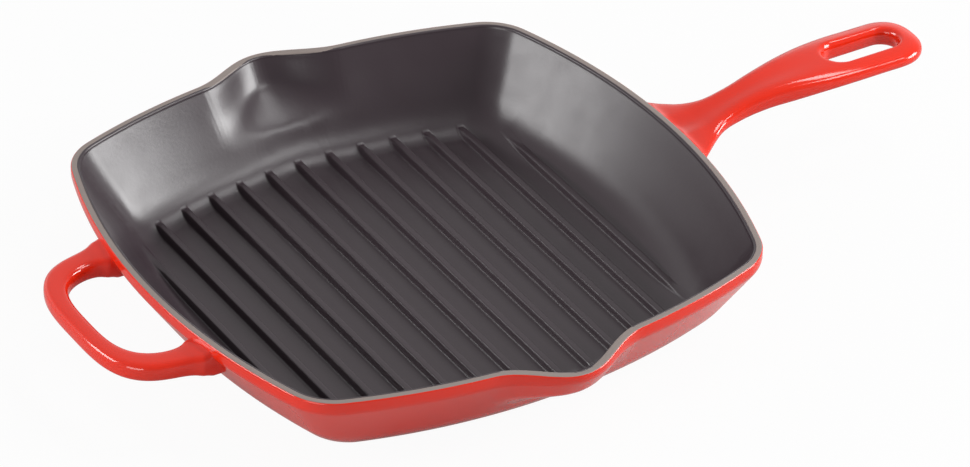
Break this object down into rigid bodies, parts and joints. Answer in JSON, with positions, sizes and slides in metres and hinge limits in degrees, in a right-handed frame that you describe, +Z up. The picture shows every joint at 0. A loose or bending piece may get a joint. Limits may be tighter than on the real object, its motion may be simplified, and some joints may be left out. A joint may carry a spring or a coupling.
{
  "type": "grill pan",
  "caption": "Square enamelled cast iron grill pan with raised ribs, pouring spouts, a long handle with a hanging hole and a helper loop.",
  "frame": {"origin": "centre of the flat base", "axes": "+Z up, +X towards the long handle, the two pouring spouts face +Y and -Y"},
  "size_m": [0.4229, 0.2884, 0.0508],
  "materials": {
    "iron": "as cast",
    "gloss_enamel": "gloss",
    "satin_enamel": "satin",
    "ground_coat": "satin"
  },
  "bodies": {
    "root": {"pan_body": "iron", "grill_ribs": "iron", "long_handle": "iron", "helper_handle": "iron", "outer_enamel": "gloss_enamel", "base_enamel": "gloss_enamel", "long_handle_enamel": "gloss_enamel", "helper_handle_enamel": "gloss_enamel", "cooking_enamel": "satin_enamel", "rim_coat": "ground_coat"}
  },
  "joints": []
}
